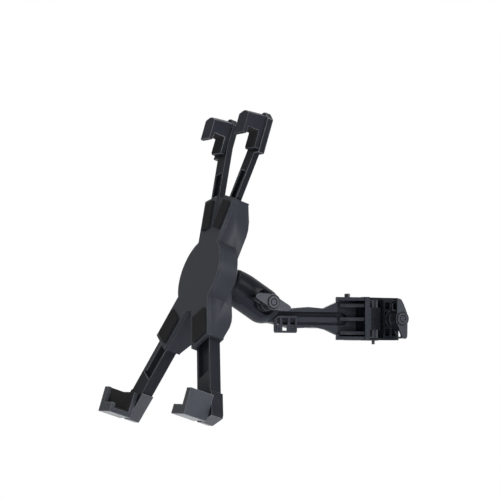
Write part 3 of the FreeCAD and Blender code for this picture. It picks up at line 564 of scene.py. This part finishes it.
for place in ("bottom_left", "bottom_right"):
    soft_parts[place + "_arm"] = (place + "_sliding_arm", 0.0006, "sliding_and_shade_plastic")
    soft_parts[place + "_bracket"] = (place + "_corner_cup", 0.00045, "bracket_plastic")
    soft_parts[place + "_pad"] = (place + "_corner_lining", 0.00025, None)
for place in ("top_left", "top_right"):
    soft_parts[place + "_arm"] = (place + "_sliding_arm", 0.0006, "sliding_and_shade_plastic")
    soft_parts[place + "_hook"] = (place + "_edge_hook", 0.00055, "hook_plastic")
    soft_parts[place + "_pad"] = (place + "_edge_lining", 0.00025, None)


def soft_copy(node, name, radius, finish):
    piece = copy_of(node, name)
    finish = finish or slot_of[node]
    # Apart from steel and rubber, the rounds take the painted edge highlight.
    if finish in plain_corners:
        paint(piece, finish)
    else:
        paint(piece, finish, "edge_highlight_plastic")
    join_triangles(piece)
    if node == "arm_with_front_jaw":
        cut_faces(piece, (jaw_pocket_start, 0, 0), (1, 0, 0))
    round_corners(piece, radius)
    return stand_in(piece, node)


for node, (name, radius, finish) in soft_parts.items():
    piece = soft_copy(node, name, radius, finish)
    print(name, len(piece.data.polygons), "faces")

# %% [markdown]
# Two finishes meet on some mouldings, by the way that their faces look, and the second finishes paint light
# and shade. The wing knobs are greyer on their flat fronts than on their sides, which carry painted shade.
# The barrel gets paler step by step towards its underside, which paints the light that the floor throws up,
# and the hooks get a lit copy of their finish on their fronts. The brackets and the ends of the low arms have
# their smoothest skin below, and its lavender tint and stronger specular paint the floor's reflection. Masks
# could be painted for this, but a test on each face's normal puts the border where the moulding has its own
# edge.

# %% Second finish by direction
x_axis, y_axis, z_axis = range(3)
front_limit = -0.6
underside_limit = -0.45
largest_underside = 0.0004
facing_finishes = [
    # piece, finish, axis of the face's normal and the most that it may be along that axis
    # The knobs' fronts get their grey; the rest of each knob keeps its painted shade.
    ("socket_wing_knob", "knob_plastic", y_axis, front_limit),
    ("clamp_wing_knob", "bracket_plastic", y_axis, front_limit),
    # The hooks' fronts get a lit copy of their finish, which is painted light.
    ("top_left_edge_hook", "hook_front_lit_plastic", x_axis, front_limit),
    ("top_right_edge_hook", "hook_front_lit_plastic", x_axis, front_limit),
    # Downward faces of the brackets get the painted reflection of the floor.
    ("bottom_left_corner_cup", "underside_reflection_plastic", z_axis, underside_limit),
    ("bottom_right_corner_cup", "underside_reflection_plastic", z_axis, underside_limit),
]
# Painted light from below: the barrel's downward faces take paler finishes, step by step.
for half in ("barrel_half_near", "barrel_half_far"):
    for finish, limit in (("bracket_plastic", -0.9), ("black_plastic", -0.7), ("hook_plastic", -0.35)):
        facing_finishes.append((half, finish, z_axis, limit))


def second_finish(piece, finish, wanted):
    """Give the faces that pass the test another finish, but leave the corners."""
    piece.data.materials.append(finishes[finish])
    last = len(piece.data.materials) - 1
    for face in piece.data.polygons:
        if face.material_index == 0 and wanted(face):
            face.material_index = last


def is_small_underside(face):
    return face.normal.z < underside_limit and face.area < largest_underside


for name, finish, axis, limit in facing_finishes:
    second_finish(bpy.data.objects[name], finish, lambda face: face.normal[axis] < limit)
# Small downward faces of the low arms get the painted reflection of the floor.
for name in ("bottom_left_sliding_arm", "bottom_right_sliding_arm"):
    second_finish(bpy.data.objects[name], "underside_reflection_plastic", is_small_underside)
print("finishes by direction", len(facing_finishes) + 2)

# %% [markdown]
# The arm takes its other finishes by place, and all three are painted shade. The floor of its upper channel
# and the round shell and fork that lie right of its upright bar are painted dark. Between the ribs of its jaw
# the floor is painted a little less dark, and the recess ends in the darkest painted shade: the round wall
# and the side of the bar.

# %% Second finishes of the arm
channel_floor = -0.0066
channel_middle = -0.001
jaw_floor = -0.0092
bar_left = -0.007
shell_start = -0.0015
shell_outer = 0.0135
outer_rib = 0.0118
shell_tolerance = 0.0004
bar_tolerance = 0.0003
squarely = 0.9


def is_recess_end(face):
    from_axis = math.hypot(face.center.x, face.center.y)
    on_shell = face.center.x < bar_left and abs(from_axis - shell_outer) < shell_tolerance
    on_bar = face.normal.x < -squarely and abs(face.center.x - bar_left) < bar_tolerance
    return on_shell or (on_bar and abs(face.center.z) < outer_rib)


def is_jaw_floor(face):
    between = jaw_pocket_start < face.center.x < bar_left
    return between and face.normal.y < -squarely and face.center.y > jaw_floor


def is_pocket(face):
    left_of_jaw = face.center.x < jaw_pocket_start and face.center.z > channel_middle
    on_floor = face.normal.y < -squarely and face.center.y > channel_floor
    return (left_of_jaw and on_floor) or face.center.x > shell_start


arm = bpy.data.objects["arm_moulding"]
# Painted shade: the three finishes below darken the recess end, the jaw floor and the pockets.
second_finish(arm, "deep_shade_plastic", is_recess_end)
second_finish(arm, "sliding_and_shade_plastic", is_jaw_floor)
second_finish(arm, "painted_shade_plastic", is_pocket)
arm_faces = [face.material_index for face in arm.data.polygons]
print("arm faces per finish", [arm_faces.count(index) for index in range(len(arm.data.materials))])

# %% [markdown]
# A cover disc closes the front of each wing knob. On the real knob it is a button with a sunk ledge at its
# rim and a groove round its middle, and both are painted with shade. A plain cylinder is the start, and its
# front face is then inset and moved in or out, ring by ring, as one would with the I and G keys. A profile
# could be spun instead, but the inset keeps the disc one closed mesh with a single flat face in its middle.

# %% Cover discs of the knobs
cover_sides = 72
cover_round = 0.00008
cap_rise = 0.0004
groove_depth = 0.0003
cover_rings = [
    # width of the ring and how far its inner edge moves back
    (0.00060, 0.0), (0.00015, -cap_rise), (0.00185, 0.0),
    (0.00020, groove_depth), (0.00070, 0.0), (0.00020, -groove_depth)]
ledge_inset = 0.00068
groove_inset = (0.0026, 0.0037)


def knob_cover(node, name, finish):
    low, high = [Vector(corner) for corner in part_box(node)]
    middle = (low + high) / 2
    rim = (high.x - low.x) / 2
    bpy.ops.object.select_all(action="DESELECT")
    bpy.ops.mesh.primitive_cylinder_add(
        vertices=cover_sides, radius=rim, depth=high.y - low.y - cap_rise,
        location=middle + Vector((0, cap_rise / 2, 0)), rotation=(math.pi / 2, 0, 0))
    piece = bpy.context.object
    piece.name = name
    bpy.ops.object.transform_apply(location=True, rotation=True, scale=True)
    bpy.ops.object.mode_set(mode="EDIT")
    bpy.ops.mesh.select_mode(type="FACE")
    bpy.ops.mesh.select_all(action="DESELECT")
    bpy.ops.object.mode_set(mode="OBJECT")
    for face in piece.data.polygons:
        face.select = face.normal.y < -squarely
    bpy.ops.object.mode_set(mode="EDIT")
    for width, move in cover_rings:
        bpy.ops.mesh.inset(thickness=width)
        bpy.ops.transform.translate(value=(0, move, 0))
    bpy.ops.object.mode_set(mode="OBJECT")
    # The rounds of the cover take the painted edge highlight.
    paint(piece, finish, "edge_highlight_plastic")
    round_corners(piece, cover_round)

    def inset_of(face):
        return rim - math.hypot(face.center.x - middle.x, face.center.z - middle.z)

    # Painted shade in the sunk ledge and the groove of the cover.
    second_finish(piece, "deep_shade_plastic", lambda face: inset_of(face) < ledge_inset)
    second_finish(piece, "painted_shade_plastic", lambda face: groove_inset[0] < inset_of(face) < groove_inset[1])
    return stand_in(piece, node)


for node, name, finish in (
        ("clamp_knob_cap", "clamp_knob_cover", "bracket_plastic"),
        ("socket_knob_cap", "socket_knob_cover", "knob_plastic")):
    cover = knob_cover(node, name, finish)
    print(name, len(cover.data.polygons), "faces")

# %% [markdown]
# Two rubber pads with level ribs line the clamp's bore. A narrow upright face gives the pad's section.
# A new face is selected all over, so it is cut both ways, into rows half a millimetre high and columns
# that are finer still. Two rows in every four have their points near the inner edge pushed back, which
# makes the grooves, and the section is then spun through 120 degrees round the bore's axis. Beside a
# groove, the cells of the two end faces fold over, flat in their own plane. Cutting only the two upright
# edges would avoid that. An Array of single ribs could look the same, but with walls inside the rubber.

# %% Ribbed pads of the clamp
pad_inner = 0.008
pad_outer = 0.010
pad_height = 0.030
pad_groove_depth = 0.0007
pad_steps = 60
rib_steps = 4
plain_end_steps = 2
pad_degrees = 120
pad_spin_steps = 30
pad_smooth_degrees = 25
hair = 0.0001
weld = 0.000001


def ribbed_pad(node, name, start_degrees):
    bpy.ops.object.select_all(action="DESELECT")
    bpy.ops.mesh.primitive_plane_add(
        size=1.0, location=((pad_inner + pad_outer) / 2, 0, 0), rotation=(math.pi / 2, 0, 0))
    piece = bpy.context.object
    piece.name = name
    piece.scale = (pad_outer - pad_inner, pad_height, 1.0)
    bpy.ops.object.transform_apply(location=True, rotation=True, scale=True)
    bpy.ops.object.mode_set(mode="EDIT")
    bpy.ops.mesh.select_mode(type="EDGE")
    bpy.ops.mesh.subdivide(number_cuts=pad_steps - 1)
    bpy.ops.mesh.select_mode(type="VERT")
    bpy.ops.mesh.select_all(action="DESELECT")
    bpy.ops.object.mode_set(mode="OBJECT")
    for vertex in piece.data.vertices:
        step = round((vertex.co.z + pad_height / 2) / pad_height * pad_steps)
        inner = vertex.co.x < pad_inner + hair
        ribbed = plain_end_steps < step < pad_steps - plain_end_steps
        vertex.select = inner and ribbed and step % rib_steps >= rib_steps / 2
    bpy.ops.object.mode_set(mode="EDIT")
    bpy.ops.transform.translate(value=(pad_groove_depth, 0, 0))
    bpy.ops.mesh.select_all(action="SELECT")
    bpy.ops.mesh.spin(steps=pad_spin_steps, angle=math.radians(pad_degrees), center=(0, 0, 0), axis=(0, 0, 1))
    bpy.ops.mesh.select_all(action="SELECT")
    bpy.ops.mesh.remove_doubles(threshold=weld)
    bpy.ops.mesh.normals_make_consistent(inside=False)
    bpy.ops.object.mode_set(mode="OBJECT")
    points = [vertex.co for vertex in piece.data.vertices]
    spun_to = math.atan2(sum(point.y for point in points), sum(point.x for point in points))
    piece.rotation_euler = (0, 0, math.radians(start_degrees + pad_degrees / 2) - spun_to)
    bpy.ops.object.transform_apply(location=False, rotation=True, scale=False)
    bpy.ops.object.shade_smooth_by_angle(angle=math.radians(pad_smooth_degrees))
    return stand_in(piece, node)


for node, name, start in (
        ("front_jaw_pad", "ribbed_front_pad", -150),
        ("back_jaw_pad", "ribbed_back_pad", 30)):
    pad = ribbed_pad(node, name, start)
    print(name, len(pad.data.polygons), "faces", [round(v, 4) for v in pad.bound_box[0]])

# %% [markdown]
# The eye bolt swings through the fork's slot, and its thread shows from above and from behind. In CAD
# it is a plain rod of the thread's outer size. Here a copy of that rod is cut below the eye, and the
# part below the cut is drawn in to the thread's root.

# %% Root of the threaded eye bolt
thread_pitch = 0.001
thread_outer = 0.0029
thread_root = 0.00245
thread_start = 0.0115
bolt_round = 0.00025

bolt = copy_of("swing_bolt", "threaded_eye_bolt")
join_triangles(bolt)
bolt_low, bolt_high = [Vector(corner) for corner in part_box("swing_bolt")]
bolt_x = (bolt_low.x + bolt_high.x) / 2
cut_faces(bolt, (bolt_x, thread_start, 0), (0, 1, 0))
for vertex in bolt.data.vertices:
    vertex.select = vertex.co.y < thread_start + hair
draw_in = thread_root / thread_outer
bpy.ops.object.mode_set(mode="EDIT")
bpy.ops.transform.resize(value=(draw_in, 1, draw_in), center_override=(bolt_x, 0, 0))
bpy.ops.object.mode_set(mode="OBJECT")
round_corners(bolt, bolt_round)
print("bolt root", len(bolt.data.polygons), "faces")

# %% [markdown]
# The thread itself is a small four-sided ridge. The Screw modifier winds it, one millimetre a turn,
# its two ends are closed, and it is then laid along the bolt and joined to it. A Boolean could cut a
# groove into the rod, but a wound ridge is lighter and always comes out closed.

# %% Thread of the eye bolt
ridge_sides = 4
largest_hole_sides = 6
steps_per_turn = 20
thread_turns = int((thread_start - bolt_low.y) / thread_pitch) - 1

bpy.ops.object.select_all(action="DESELECT")
bpy.ops.mesh.primitive_circle_add(
    vertices=ridge_sides, radius=thread_outer - thread_root, fill_type="NGON",
    location=(thread_root, 0, 0), rotation=(math.pi / 2, 0, 0))
ridge = bpy.context.object
bpy.ops.object.transform_apply(location=True, rotation=True, scale=True)
wind = ridge.modifiers.new("wind", "SCREW")
wind.axis = "Z"
wind.angle = 2 * math.pi
wind.screw_offset = thread_pitch
wind.iterations = thread_turns
wind.steps = steps_per_turn
wind.render_steps = steps_per_turn
apply_all(ridge)
bpy.ops.object.mode_set(mode="EDIT")
bpy.ops.mesh.select_all(action="SELECT")
bpy.ops.mesh.remove_doubles(threshold=weld)
bpy.ops.mesh.fill_holes(sides=largest_hole_sides)
bpy.ops.mesh.normals_make_consistent(inside=False)
bpy.ops.object.mode_set(mode="OBJECT")
ridge.rotation_euler = (math.pi / 2, 0, 0)
ridge.location = (bolt_x, thread_start - thread_pitch, 0)
bpy.ops.object.transform_apply(location=True, rotation=True, scale=False)
bolt.select_set(True)
bpy.context.view_layer.objects.active = bolt
bpy.ops.object.join()
stand_in(bolt, "swing_bolt")
print(bolt.name, thread_turns, "turns", len(bolt.data.polygons), "faces")
